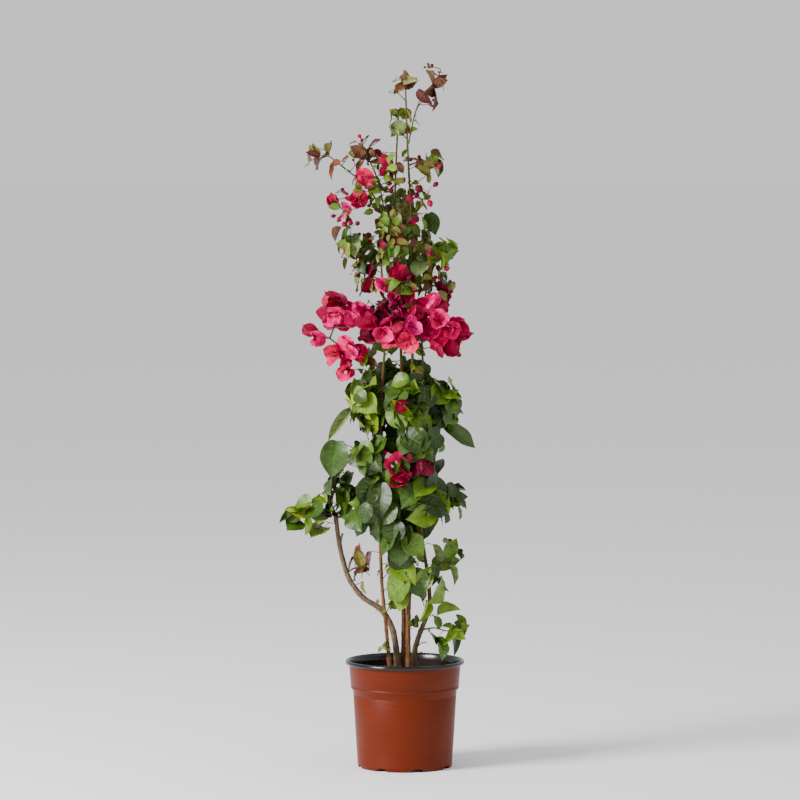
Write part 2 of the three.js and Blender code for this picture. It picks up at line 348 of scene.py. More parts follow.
def half_width(t, widest, drawn):
    """Half the width at a share of the length: round at the base and drawn in to the tip."""
    base = np.sqrt(np.clip(1 - ((widest - t) / widest) ** 2, 0, 1))
    tip = (1 - np.clip((t - widest) / (1 - widest), 0, 1) ** 2) ** drawn
    return np.where(t < widest, base, tip)


def join_blade():
    """A blade's grid as triangles that meet in one point at the base and one at the tip, with the
    points that they use and which of them are midrib or side vein."""
    columns = len(BLADE_COLUMNS)
    grid = grid_triangles(len(BLADE_ROWS), columns)
    row, column = grid.min(1) // columns, (grid % columns).min(1)
    middle = columns // 2 - 1
    side_vein = np.isin(row, [BLADE_ROWS.index(vein - VEIN_HALF) for vein in VEIN_ROWS])
    vein = (column == middle) | side_vein & (abs(column - middle) < 2)
    last = (len(BLADE_ROWS) - 1) * columns
    grid = np.where(grid < columns, 0, np.where(grid >= last, last, grid))
    whole = (grid[:, 0] != grid[:, 1]) & (grid[:, 1] != grid[:, 2]) & (grid[:, 2] != grid[:, 0])
    used, numbers = np.unique(grid[whole], return_inverse=True)
    return used, numbers.reshape(-1, 3), vein[whole]


BLADE_POINTS, BLADE_TRIANGLES, BLADE_VEINS = join_blade()


MARGIN_WAVES = (1.4, 2.6)  # how many waves a margin has along its length


def blade(outline, heart, fold, curl, ripple, swell):
    """heart draws the base's lobes back, fold lifts the margins, curl bends the tip down in radians,
    ripple waves the margins, and swell lifts the blade between its side veins."""
    s, v = np.meshgrid(BLADE_ROWS, BLADE_COLUMNS, indexing="ij")
    t = s + VEIN_SLANT * np.abs(v) * np.sin(math.pi * s)
    w = half_width(t, *OUTLINES[outline])
    x = t - heart * np.abs(v) * w * (1 - t) ** 6
    y = 0.5 * v * w
    phases = rng.uniform(0, 2 * math.pi, 2)
    waves = rng.uniform(*MARGIN_WAVES)
    z = fold * np.abs(y) + ripple * v**2 * w * np.sin(2 * math.pi * waves * t + np.where(v > 0, *phases))
    z += swell * (1 - np.cos(2 * math.pi * (s - FIRST_VEIN) / VEIN_GAP)) * np.abs(v) ** 0.5 * w
    bend = curl * x
    points = np.stack(
        [np.sin(bend) / curl + z * np.sin(bend), y, -(1 - np.cos(bend)) / curl + z * np.cos(bend)], -1
    )
    return points.reshape(-1, 3)[BLADE_POINTS]


VEIN_COLOUR = {  # by a blade's colour, or by its kind where the colour isn't listed
    "leaf_deep": "rib_dark",
    "leaf_dark": "rib_dark",
    "leaf_mid": "rib_green",
    "leaf_fresh": "rib_green",
    "leaf_lime": "rib_pale",
    "leaf_grey": "rib_pale",
    "young_olive": "rib_olive",
    "young": "rib_bronze",
    "bract": "rib_red",
}
BLADE_SHAPES = 14  # different leaves, and as many bracts
NARROW_SHAPES = 6
BLADES = {
    "leaf": [
        blade(
            "leaf",
            heart=rng.uniform(0.05, 0.3),
            fold=rng.uniform(0.05, 0.36),
            curl=rng.uniform(0.15, 0.8),
            ripple=0.026,
            swell=0.009,
        )
        for _ in range(BLADE_SHAPES)
    ],
    "narrow": [
        blade(
            "narrow",
            heart=0.0,
            fold=rng.uniform(0.3, 0.8),
            curl=rng.uniform(0.2, 0.9),
            ripple=0.02,
            swell=0.004,
        )
        for _ in range(NARROW_SHAPES)
    ],
    "bract": [
        blade(
            "bract",
            heart=rng.uniform(0.1, 0.4),
            fold=rng.uniform(-0.1, 0.35),
            curl=rng.uniform(-0.9, 0.4),
            ripple=0.045,
            swell=0.008,
        )
        for _ in range(BLADE_SHAPES)
    ],
}


def place_blade(pile, kind, base, along, face, length, width, colour):
    """Lays one blade with its base at a point, its midrib along a direction and its face one way."""
    shape = BLADES[kind][rng.integers(len(BLADES[kind]))]
    along = unit(along)
    face = unit(face - along * np.dot(face, along))
    across = np.cross(face, along)
    points = (
        base
        + length * np.outer(shape[:, 0], along)
        + width * np.outer(shape[:, 1], across)
        + length * np.outer(shape[:, 2], face)
    )
    vein_colour = VEIN_COLOUR.get(colour) or VEIN_COLOUR[colour.split("_")[0]]
    pile.add(points, BLADE_TRIANGLES, np.where(BLADE_VEINS, vein_colour, colour))


# ---- Stems and boughs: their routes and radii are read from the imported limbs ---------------

LIMBS = [  # bark, and the nodes that one length of it replaces, from foot to tip
    ("bark_brown", "stem_left"),
    ("bark_brown", "stem_centre"),
    ("bark_brown", "stem_leader"),
    ("bark_grey", "stem_right"),
    ("bark_grey", "stem_bow_low", "stem_bow_high"),
    ("bark_green", "bough_right"),
    ("bark_green", "shoot_upper_left"),
    ("bark_green", "shoot_top_right"),
]
LIMB_SIDES = 6  # points in each whole ring of a packed limb
RING_LINK = 9  # neighbours in a ring are closer than this, and two rings are farther apart
SAME_POINT = 2  # decimals of a millimetre to which the copies of one point agree
BARK_STEP = 2.5
BARK_SIDES = 18
GREEN_SHARE = 0.57  # share of the plant's height above which a stem's bark is still green
NODE_GAPS = (34, 46)  # from one leaf node of a stem to the next
BARE_FOOT = 4  # points at a stem's foot that nothing grows from
HEIGHT_PENALTY = 0.9  # share of its height above a target by which wood counts as farther away


def box_of(node):
    """A CAD node's lowest and highest corners, in millimetres."""
    low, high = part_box(node)
    return np.array(low) / MM, np.array(high) / MM


SOIL_TOP = box_of("soil")[1][2]
PLANT_TOP = CAD_BOX[1][2] / MM


def rings_of(name):
    """Centres and radii of a packed limb's rings, from its thick foot to its thin tip. Where another
    limb cuts its foot, the middle of the cut is a ring too, as thick as the first whole one."""
    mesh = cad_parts[name].data
    points = np.zeros(3 * len(mesh.vertices))
    mesh.vertices.foreach_get("co", points)
    points = np.unique((points.reshape(-1, 3) / MM).round(SAME_POINT), axis=0)
    near = np.linalg.norm(points[:, None] - points[None], axis=2) < RING_LINK
    group = np.arange(len(points))
    for _ in points:
        group = np.where(near, group, len(points)).min(1)
    rings = [points[group == number] for number in np.unique(group)]
    whole = [ring for ring in rings if len(ring) == LIMB_SIDES]
    cut = [ring.mean(0) for ring in rings if len(ring) != LIMB_SIDES]
    radii = np.array([np.linalg.norm(ring - ring.mean(0), axis=1).mean() for ring in whole])
    order = np.argsort(-radii)
    centres = np.array(cut + [whole[i].mean(0) for i in order])
    return centres, np.concatenate([np.full(len(cut), radii.max()), radii[order]])


class Skeleton:
    """Every point of wood that a twig or a leaf stalk can grow from."""

    def __init__(self):
        self.points = np.zeros((0, 3))

    def add(self, path):
        self.points = np.vstack([self.points, path])

    def nearest(self, target):
        """The closest point, where one above the target counts as farther away."""
        gap = np.linalg.norm(self.points - target, axis=1)
        gap += HEIGHT_PENALTY * np.maximum(0, self.points[:, 2] - target[2])
        return self.points[np.argmin(gap)]


skeleton = Skeleton()


def bark_relief(seed, node_gap):
    """Ridges that wander along a stem, and a swelling at each leaf node."""

    def relief(turn, along):
        ridges = 0.05 * np.sin(5 * turn + 0.03 * along + seed) + 0.04 * np.sin(9 * turn - 0.05 * along)
        rough = [noise.noise(Vector((math.cos(a) * 2, math.sin(a) * 2 + seed, along * 0.12))) for a in turn]
        node = 0.16 * math.exp(-((((along / node_gap) % 1) - 0.5) * node_gap / 2.4) ** 2)
        return 1 + ridges + 0.12 * np.array(rough) + node

    return relief


def make_stem(bark, names, seed):
    """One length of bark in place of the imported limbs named, and the path and radii that it follows."""
    rings = [rings_of(name) for name in names]
    centres = np.concatenate([ring[0] for ring in rings])
    ring_radii = np.concatenate([ring[1] for ring in rings])
    apart = np.linalg.norm(np.diff(centres, axis=0), axis=1) > 2 * BARK_STEP
    kept = np.concatenate([[True], apart])
    centres = centres[kept]
    ring_radii = ring_radii[kept]
    path = smooth_path(centres, BARK_STEP)
    travelled = np.cumsum(np.linalg.norm(np.diff(centres, axis=0, prepend=centres[:1]), axis=1))
    radii = np.interp(np.linspace(0, travelled[-1], len(path)), travelled, ring_radii)
    points, triangles = tube(path, radii, BARK_SIDES, bark_relief(seed, rng.uniform(*NODE_GAPS)))
    pile = Pile(names[0] + "_bark", "bark")
    high = points[triangles[:, 0], 2] > GREEN_SHARE * PLANT_TOP
    for colour, chosen in ((bark, ~high), ("bark_green", high)):
        if chosen.any():
            used, numbers = np.unique(triangles[chosen], return_inverse=True)
            pile.add(points[used], numbers.reshape(-1, 3), colour)
    pile.build(*names)
    skeleton.add(path[BARE_FOOT:])
    return path, radii


THORN_STEP = 15  # points of a stem from one thorn to the next
THORN_ENDS = (14, 6)  # points of a stem before its first thorn and after its last
THORN_FROM = 190  # height of the lowest thorns
THORN_LENGTHS = (4, 8)
THORN_DROP = 1.6  # how far its tip bends down
THORN_SIDES = 5
THORN_TAPER = {0: 0.75, 0.3: 0.5, 0.65: 0.28, 1: 0.06}  # radius at each share of its length


def make_thorns(stems):
    """Curved thorns, evenly spaced along the stems and boughs."""
    pile = Pile("thorns", "bark")
    for path, radii in stems:
        for i in range(THORN_ENDS[0], len(path) - THORN_ENDS[1], THORN_STEP):
            if path[i, 2] < THORN_FROM:
                continue
            tangent = unit(path[i + 1] - path[i - 1])
            out = unit(np.cross(tangent, rng.normal(size=3)))
            length = rng.uniform(*THORN_LENGTHS)
            spine = [
                path[i] + out * (0.7 * radii[i] + length * share) - UP * THORN_DROP * share**2
                for share in THORN_TAPER
            ]
            pile.add(*tube(np.array(spine), THORN_TAPER.values(), THORN_SIDES), "thorn")
    pile.build()


# ---- Twigs, leaves and blossom ------------------------------------------------------------

twigs = Pile("twigs", "bark")
stalks = Pile("leaf_stalks", "bark")
leaves = Pile("leaves", "leaves")
young_leaves = Pile("young_leaves", "young")
bracts = Pile("bracts", "bracts")
flowers = Pile("flowers", "bracts")

STALK_SIDES = 5
STALK_RADII = {  # at its foot and its end
    "leaf": (0.62, 0.5),
    "head": (0.6, 0.5),
    "bud": (0.45, 0.35),
    "shoot": (0.9, 0.5),
    "shoot_leaf": (0.5, 0.4),
}
STALK_STEP = 2.5
STALK_LIFT = 0.15  # share of its length by which its middle is raised
STALK_SCATTER = 0.05  # share of its length by which its middle wanders
LEAF_STALK = 0.26  # share of the leaf's length, over LEAF_STALK_LEAST
LEAF_STALK_LEAST = 2
STALK_STRETCH = 1.4  # times its length that a stalk can be away from the wood without a twig
TWIG_THICKEST = 1.5  # radii
TWIG_THIN = 0.7
TWIG_TIP = 0.6
TWIG_SWELL = 0.008  # how much thicker its foot is for each millimetre of twig
TWIG_LIFT = 0.04


def grow_stalk(pile, start, end, thick, thin, colour, lift=STALK_LIFT):
    """A thin curved tube from a point of wood to where a leaf, bud or bract head begins."""
    length = np.linalg.norm(end - start)
    middle = (start + end) / 2 + UP * lift * length + rng.normal(size=3) * STALK_SCATTER * length
    path = smooth_path([start, middle, end], max(STALK_STEP, length / 7))
    pile.add(*tube(path, np.linspace(thick, thin, len(path)), STALK_SIDES), colour)
    return path


def reach(point, stalk, colour):
    """Grows a twig towards a point when the wood is farther away than the stalk is long."""
    wood = skeleton.nearest(point)
    gap = np.linalg.norm(point - wood)
    if gap <= STALK_STRETCH * stalk:
        return wood
    end = point + (wood - point) / gap * stalk
    thick = min(TWIG_THICKEST, TWIG_THIN + TWIG_SWELL * (gap - stalk))
    path = grow_stalk(twigs, wood, end, thick, TWIG_TIP, colour, lift=TWIG_LIFT)
    skeleton.add(path[len(path) // 4 :])
    return end


def add_leaf(kind, middle, along, face, length, width, colour):
    """A leaf on its stalk, which stands on the wood or on a twig that grows towards it."""
    base = middle - unit(along) * length / 2
    stalk = LEAF_STALK * length + LEAF_STALK_LEAST
    wood = reach(base, stalk, "twig_brown")
    stalk_colour = "twig_red" if colour.startswith("young") else "twig_green"
    grow_stalk(stalks, wood, base, *STALK_RADII["leaf"], stalk_colour)
    pile = {"leaf": leaves, "young": young_leaves, "bract": bracts}[colour.split("_")[0]]
    place_blade(pile, kind, base, along, face, length, width, colour)


FACE_SCATTER = 0.3  # how far a leaf's face wanders from its direction
SIDE_SCATTER = 0.85  # how far its midrib wanders to the sides
DEPTH_WEIGHT = 1.3  # over 1, so that leaves turn to the front and back more than to the sides
AXIS_SCATTER = [12, 12, 0]  # how far the axis that leaves turn away from wanders


def leaf_pose(outward, droop):
    """A midrib that points outwards and down, and a face turned out and up to the light."""
    sideways = np.cross(UP, outward)
    along = 0.45 * outward - droop * UP + rng.normal() * SIDE_SCATTER * sideways
    face = 0.9 * outward + 0.35 * UP + rng.normal(size=3) * FACE_SCATTER
    return unit(along), unit(face)


def length_from(sizes):
    """A length between two sizes, where most are small and a few are large."""
    return sizes[0] + (sizes[1] - sizes[0]) * rng.random() ** 1.4


def outward_of(point):
    """A level direction away from the plant's axis, different each time."""
    flat = np.array([point[0], point[1] * DEPTH_WEIGHT, 0.0])
    return unit(flat + rng.normal(size=3) * AXIS_SCATTER)


TRIES = 14


def spots(box, count, near, far):
    """Places in the ellipsoid that fills a box, each the one of several tries that has most room.
    near and far are shares of the way from its middle to its surface."""
    middle, half = (box[0] + box[1]) / 2, (box[1] - box[0]) / 2
    chosen = []
    for _ in range(count):
        tries = rng.normal(size=(TRIES, 3))
        tries /= np.linalg.norm(tries, axis=1)[:, None]
        tries = middle + tries * half * rng.uniform(near, far, (TRIES, 1))
        if chosen:
            room = np.linalg.norm(tries[:, None] - np.array(chosen)[None], axis=2).min(1)
            chosen.append(tries[np.argmax(room)])
        else:
            chosen.append(tries[0])
    return chosen


STAR_POINTS = 10
STAR_SIZE = 7
HEAD_STALK = 9
BUNCH_STALK = 8
BRACTS_IN_HEAD = 3
HEAD_OPENING = (0.3, 0.95)  # radians by which its bracts lean out
BRACT_LENGTHS = (0.88, 1.08)  # shares of the head's size
BRACT_WIDTH = 0.94  # share of its length
TUBE_RADII = (0.5, 0.9)
TUBE_SIDES = 6
CLOSED_FLOWER = (5, 2.8)  # length and width
BUD_SCATTER = 0.55  # share of its size by which a bud stands off the middle of its bunch
BUD_WIDTH = 0.74  # share of its size


def add_star(point, axis, size):
    """The small cream flower at the end of a bract's tube: five notched lobes round a throat."""
    side = unit(np.cross(axis, [0.2, 0.4, 1.0]))
    other = np.cross(axis, side)
    turn = np.linspace(0, 2 * math.pi, STAR_POINTS, endpoint=False)
    k = np.arange(STAR_POINTS)
    radius = size / 2 * np.where(k % 2, 0.5, 1)
    rim = point + np.outer(radius * np.cos(turn), side) + np.outer(radius * np.sin(turn), other)
    points = np.vstack([rim, point - axis * 0.12 * size])
    throat = np.full(STAR_POINTS, STAR_POINTS)
    flowers.add(points, np.stack([throat, k, (k + 1) % STAR_POINTS], -1), "flower_star")


def add_head(middle, axis, size, palette, bloom):
    """Three cupped bracts round a stalk, each with a flower tube along its midrib."""
    colour = pick(palette)
    base = middle - axis * 0.3 * size
    wood = reach(base, HEAD_STALK, "twig_green")
    grow_stalk(stalks, wood, base, *STALK_RADII["head"], "twig_green")
    side = unit(np.cross(axis, rng.normal(size=3)))
    other = np.cross(axis, side)
    start = rng.uniform(0, 2 * math.pi)
    opening = rng.uniform(*HEAD_OPENING)
    for k in range(BRACTS_IN_HEAD):
        turn = start + 2 * math.pi * k / BRACTS_IN_HEAD + rng.normal() * 0.15
        out = math.cos(turn) * side + math.sin(turn) * other
        lean = opening + rng.normal() * 0.12
        along = math.cos(lean) * axis + math.sin(lean) * out
        face = math.sin(lean) * axis - math.cos(lean) * out
        length = size * rng.uniform(*BRACT_LENGTHS)
        place_blade(bracts, "bract", base, along, face, length, BRACT_WIDTH * length, colour)
        end = base + 0.42 * length * along + 0.14 * length * face
        path = smooth_path([base, base + 0.25 * length * along + 0.05 * length * face, end], 3)
        flowers.add(*tube(path, np.linspace(*TUBE_RADII, len(path)), TUBE_SIDES), "flower_tube")
        if rng.random() < bloom:
            add_star(end + 0.2 * face, unit(along + 1.2 * face), STAR_SIZE)
        else:
            flowers.add(*blob(end, unit(end - base), *CLOSED_FLOWER), "bud")


def add_buds(middle, count, sizes):
    """A small bunch of closed, round heads."""
    wood = reach(middle, BUNCH_STALK, "twig_green")
    for _ in range(count):
        size = rng.uniform(*sizes)
        end = middle + rng.normal(size=3) * BUD_SCATTER * size
        axis = unit(unit(end - wood) + rng.normal(size=3) * 0.3)
        grow_stalk(stalks, wood, end, *STALK_RADII["bud"], "twig_red")
        flowers.add(*blob(end + 0.3 * size * axis, axis, size, BUD_WIDTH * size), pick("maroon"))


LEAFY = {  # leaves in a mass: how many, how long, palette
    "young_top": (7, (19, 33), "young"),
    "young_top_right": (8, (20, 42), "young"),
    "young_top_low": (9, (18, 34), "upper"),
    "young_far_left": (8, (19, 41), "young"),
    "young_upper_left": (12, (19, 31), "young"),
    "leaves_upper_middle": (24, (14, 30), "upper"),
    "leaves_upper_right": (10, (17, 36), "upper"),
    "leaves_left_middle": (11, (18, 40), "upper"),
    "leaves_core": (82, (12, 28), "core"),
    "leaves_core_left": (46, (13, 28), "core"),
    "leaves_back_upper": (44, (20, 38), "upper"),
    "leaves_right_middle": (36, (14, 32), "upper"),
    "leaves_right_tip": (7, (16, 40), "mixed"),
    "leaves_gap_left": (8, (20, 32), "upper"),
    "leaves_left_high": (46, (20, 42), "mixed"),
    "leaves_left_low": (26, (26, 48), "full"),
    "leaves_centre_high": (30, (30, 54), "full"),
    "leaves_right_high": (27, (30, 50), "full"),
    "leaves_centre_middle": (20, (34, 54), "full"),
    "leaves_back_middle": (84, (30, 54), "full"),
    "leaves_far_left": (14, (30, 46), "light"),
    "leaves_bow": (32, (18, 38), "full"),
    "leaves_centre_left": (32, (34, 56), "full"),
    "leaves_centre_low": (15, (32, 54), "shade"),
    "leaves_centre_right": (26, (34, 58), "full"),
    "leaves_right_out": (10, (24, 50), "full"),
    "leaves_back_low": (80, (30, 54), "full"),
    "leaves_low_left": (7, (22, 34), "young"),
    "leaves_right_tail": (5, (26, 58), "dull"),
    "leaves_low_middle": (8, (38, 55), "light"),
    "leaves_low_right": (9, (22, 48), "light"),
    "bracts_upper_left": (8, (14, 24), "upper"),
    "bracts_far_upper_left": (5, (12, 20), "upper"),
    "bracts_upper_centre": (8, (16, 24), "upper"),
    "bracts_upper_right": (4, (12, 18), "upper"),
    "bracts_right_middle": (5, (16, 26), "upper"),
    "bracts_core": (22, (14, 28), "core"),
    "bracts_back": (24, (24, 36), "full"),
    "bracts_low": (8, (26, 38), "shade"),
}
LEVEL = (-0.25, 0.3)  # spans of how far a midrib points down
USUAL = (-0.1, 1.1)
HANGING = (0.5, 1.5)
DROOP = {  # the masses whose leaves aren't held as usual
    "leaves_back_upper": HANGING,
    "leaves_back_middle": HANGING,
    "leaves_right_tail": HANGING,
    "young_top": LEVEL,
    "leaves_far_left": LEVEL,
    "leaves_left_middle": HANGING,
    "leaves_right_tip": HANGING,
    "leaves_centre_left": HANGING,
    "leaves_centre_low": HANGING,
    "leaves_low_left": HANGING,
    "leaves_low_middle": HANGING,
}
HEADS = {  # bract heads in a mass: how many, how large, palette, share of flowers that are open
    "bracts_upper_left": (2, (26, 34), "pink", 0),
    "bracts_far_upper_left": (2, (17, 24), "crimson", 0),
    "bracts_upper_centre": (1, (24, 28), "crimson", 0),
    "bracts_right_middle": (3, (20, 26), "maroon", 0),
    "bracts_core": (7, (22, 30), "crimson", 0),
    "bracts_left_high": (9, (26, 32), "pink", 0),
    "bracts_far_left": (2, (27, 31), "pink", 0),
    "bracts_left_low": (7, (26, 32), "pink", 0.2),
    "bracts_centre_left": (10, (24, 33), "band", 0),
    "bracts_centre": (10, (24, 33), "band", 0.1),
    "bracts_centre_right": (9, (24, 32), "band", 0.1),
    "bracts_right": (7, (26, 34), "pink", 0.6),
    "bracts_back": (16, (26, 34), "pink", 0.2),
    "bracts_low": (8, (27, 34), "band", 0.7),
    "leaves_core_left": (2, (20, 26), "crimson", 0),
    "leaves_centre_high": (2, (22, 28), "crimson", 0),
}
BUNCHES = {  # bunches of closed heads in a mass: how many, and how long the closed heads are
    "bracts_upper_left": (3, (7, 11)),
    "bracts_far_upper_left": (2, (7, 10)),
    "bracts_upper_centre": (1, (9, 14)),
    "bracts_upper_right": (4, (11, 18)),
    "bracts_right_middle": (2, (9, 13)),
    "bracts_core": (3, (8, 13)),
    "bracts_left_high": (1, (8, 12)),
    "bracts_centre_left": (1, (8, 12)),
    "bracts_right": (1, (8, 12)),
    "bracts_back": (4, (8, 12)),
    "young_top_right": (2, (5, 8)),
    "young_top": (1, (5, 8)),
    "young_upper_left": (3, (5, 9)),
    "leaves_upper_right": (2, (7, 10)),
    "leaves_left_middle": (2, (8, 13)),
    "leaves_right_middle": (2, (8, 12)),
}
SINGLE_LEAVES = {  # length, width, tip's direction in degrees from the right, palette colour
    "leaf_left_long": (64, 17, -128, "leaf_grey", "narrow"),
    "leaf_left_large": (62, 46, -100, "leaf_dark", "leaf"),
    "leaf_right_far": (66, 25, -33, "leaf_dark", "leaf"),
}


def grow_single(name):
    """A large leaf that is a CAD node of its own, in the middle of the node's box."""
    length, width, degrees, colour, kind = SINGLE_LEAVES[name]
    low, high = box_of(name)
    turn = math.radians(degrees)
    along = np.array([math.cos(turn), -0.15, math.sin(turn)])
    add_leaf(kind, (low + high) / 2, along, FRONT + 0.35 * UP, length, width, colour)


TIP_LEAVES = 2  # leaves of each leafy mass that reach its edge
TIP_SCATTER = [0.4, 0.2, 0.4]  # how far its direction wanders from straight out
TIP_WIDTHS = (0.5, 0.75)  # shares of the length
TURNS_BACK = 30  # where a mass's middle is farther back than this, its tip leaves face the back
HEAD_SPREAD = (0.45, 0.85)  # shares of the way from a mass's middle to its surface
BUNCH_SPREAD = (0.5, 0.9)
LEAF_SPREAD = (0.3, 0.88)
BACK_LEAF_SPREAD = (0.3, 1.08)
BUNCH_BUDS = (2, 5)  # from the first up to one under the second
LEADER_REACH = 0.75  # share of the way from its mass's middle to the surface that a leading shoot goes
LEADER_LIFT = {LEVEL: 0.0, USUAL: 0.8, HANGING: -0.8}  # how far it turns up past the middle
LEADER_BOW = 4  # how far it is raised halfway to the middle
LEADER_STEP = 5
LEADER_SIDES = 6
SLIM_USUAL = 0.16  # share of the leaves that are narrow
SLIM_SHARE = {"leaves_right_tail": 0.7, "leaves_low_right": 0.35, "young_far_left": 0.35, "young_top": 0.3}
WIDTHS = {"leaf": (0.7, 0.98), "young": (0.46, 0.66), "narrow": (0.3, 0.44)}  # shares of the length


def grow_leader(name, box):
    """The shoot that leads through a mass which stands off the wood, up, level or hanging."""
    middle, half = (box[0] + box[1]) / 2, (box[1] - box[0]) / 2
    foot = skeleton.nearest(middle)
    out = middle - foot
    if np.linalg.norm(out) < half.min():
        return
    lift = LEADER_LIFT[DROOP.get(name, USUAL)]
    end = middle + LEADER_REACH * half * unit(out / half + lift * UP)
    path = smooth_path([foot, (foot + middle) / 2 + LEADER_BOW * UP, middle, end], LEADER_STEP)
    colour = "twig_red" if name.startswith("young") else "twig_brown"
    radii = np.linspace(TWIG_THICKEST, TWIG_THIN, len(path))
    twigs.add(*tube(path, radii, LEADER_SIDES), colour)
    skeleton.add(path[2:])


def tip_leaves(box):
    """Leaf ends that touch the edge of a mass on the side away from the wood, so that the outline
    is reached: where the tip of each leaf is, and the direction it points in."""
    middle, half = (box[0] + box[1]) / 2, (box[1] - box[0]) / 2
    out = middle - skeleton.nearest(middle)
    if np.linalg.norm(out) < half.min():
        out = np.array([middle[0], 0.5 * middle[1], 0.6 * np.linalg.norm(half)])
    ends = []
    for _ in range(TIP_LEAVES):
        along = unit(unit(out) + rng.normal(size=3) * TIP_SCATTER)
        edge = middle + along / np.linalg.norm(along / half)
        ends.append((edge, along))
    return ends


def grow_mass(name):
    """Fills one mass of the CAD: its leading shoot, bract heads, bunches of buds, then leaves."""
    box = box_of(name)
    middle = (box[0] + box[1]) / 2
    grow_leader(name, box)
    if name in HEADS:
        heads, sizes, palette, bloom = HEADS[name]
        for spot in spots(box, heads, *HEAD_SPREAD):
            axis = unit(outward_of(spot) + 0.2 * UP + rng.normal(size=3) * 0.6)
            add_head(spot, axis, rng.uniform(*sizes), palette, bloom)
    if name in BUNCHES:
        bunches, sizes = BUNCHES[name]
        for spot in spots(box, bunches, *BUNCH_SPREAD):
            add_buds(spot, rng.integers(*BUNCH_BUDS), sizes)
    if name in LEAFY:
        count, sizes, palette = LEAFY[name]
        for edge, along in tip_leaves(box):
            length = length_from(sizes)
            face = FRONT * np.sign(TURNS_BACK - middle[1]) + 0.4 * UP + rng.normal(size=3) * FACE_SCATTER
            width = length * rng.uniform(*TIP_WIDTHS)
            add_leaf("leaf", edge - along * length / 2, along, face, length, width, pick(palette))
        places = spots(box, count, *(BACK_LEAF_SPREAD if "_back" in name else LEAF_SPREAD))
        places.sort(key=lambda spot: np.linalg.norm(skeleton.nearest(spot) - spot))
        for spot in places:
            outward = unit(outward_of(spot) + 0.6 * unit(spot - middle))
            droop = DROOP.get(name, USUAL)
            along, face = leaf_pose(outward, rng.uniform(*droop))
            if droop is LEVEL:
                face = 0.8 * FRONT + 0.5 * UP + rng.normal(size=3) * FACE_SCATTER
            length = length_from(sizes)
            kind = "narrow" if rng.random() < SLIM_SHARE.get(name, SLIM_USUAL) else "leaf"
            colour = pick(palette)
            width = length * rng.uniform(*WIDTHS["young" if colour.startswith("young") else kind])
            add_leaf(kind, spot, along, face, length, width, colour)


SHOOT_GAP = 30  # from one side shoot of a stem to the next
SHOOT_FROM = 175  # height of the lowest side shoots
SHOOT_MISSING = 0.25  # share of the places that stay bare
SHOOT_LENGTHS = (8, 34)
SHOOT_LEAF_LENGTHS = (11, 22)
SHOOT_LEAF_WIDTHS = (0.5, 0.8)  # shares of the length
SHOOT_LEAVES = (0, 4)  # from the first up to one under the second


def grow_side_shoots(path, radii):
    """Short twigs along a stem, bare or with one to three small leaves."""
    step = int(SHOOT_GAP / BARK_STEP)
    for i in range(step, len(path) - step // 2, step):
        i += int(rng.integers(-step // 3, step // 3 + 1))
        foot = path[i]
        if foot[2] < SHOOT_FROM or rng.random() < SHOOT_MISSING:
            continue
        tangent = unit(path[i + 1] - path[i - 1])
        out = unit(np.cross(tangent, rng.normal(size=3)))
        length = rng.uniform(*SHOOT_LENGTHS)
        end = foot + unit(out + 0.5 * UP) * length
        start = foot + out * 0.6 * radii[i]
        twig = grow_stalk(twigs, start, end, *STALK_RADII["shoot"], "twig_brown")
        for _ in range(rng.integers(*SHOOT_LEAVES)):
            middle = twig[rng.integers(len(twig) // 2, len(twig))] + rng.normal(size=3) * 5
            along, face = leaf_pose(outward_of(middle), rng.uniform(*USUAL))
            size = rng.uniform(*SHOOT_LEAF_LENGTHS)
            base = middle - along * size / 2
            grow_stalk(stalks, twig[-1], base, *STALK_RADII["shoot_leaf"], "twig_green")
            high = foot[2] > GREEN_SHARE * PLANT_TOP
            colour = pick("upper" if high else "mixed")
            pile = young_leaves if colour.startswith("young") else leaves
            width = size * rng.uniform(*SHOOT_LEAF_WIDTHS)
            place_blade(pile, "leaf", base, along, face, size, width, colour)


# ---- Pot and soil -------------------------------------------------------------------------

POT_SEGMENTS = 180
NOTCH_PITCH = 45  # degrees from one drain notch to the next
NOTCH_FIRST = -74  # degrees round from the front
NOTCH_HALF = 6.6  # degrees
NOTCH_HEIGHT = 4.8
NOTCHED = range(1, 5)  # the points of the outside's profile that the notches lift


def lathe(profile, lift=None):
    """Turns a profile of (radius, height) round the pot's axis. lift gives a row's extra heights."""
    turn = np.linspace(0, 2 * math.pi, POT_SEGMENTS, endpoint=False)
    rows = []
    for i, (radius, height) in enumerate(profile):
        z = np.full(POT_SEGMENTS, float(height)) if lift is None else lift(i, turn, height)
        rows.append(np.stack([radius * np.cos(turn), radius * np.sin(turn), z], -1))
    return np.concatenate(rows), grid_triangles(len(profile), POT_SEGMENTS, wrap=True)


def notch_lift(i, turn, height):
    """The pot's foot rises over each drain notch."""
    degrees = np.degrees(turn) + 90
    off = (degrees - NOTCH_FIRST + NOTCH_PITCH / 2) % NOTCH_PITCH - NOTCH_PITCH / 2
    arch = NOTCH_HEIGHT * np.clip(1 - np.abs(off / NOTCH_HALF) ** 4, 0, 1) ** 0.5
    return np.maximum(height, arch) if i in NOTCHED else np.full(len(turn), float(height))


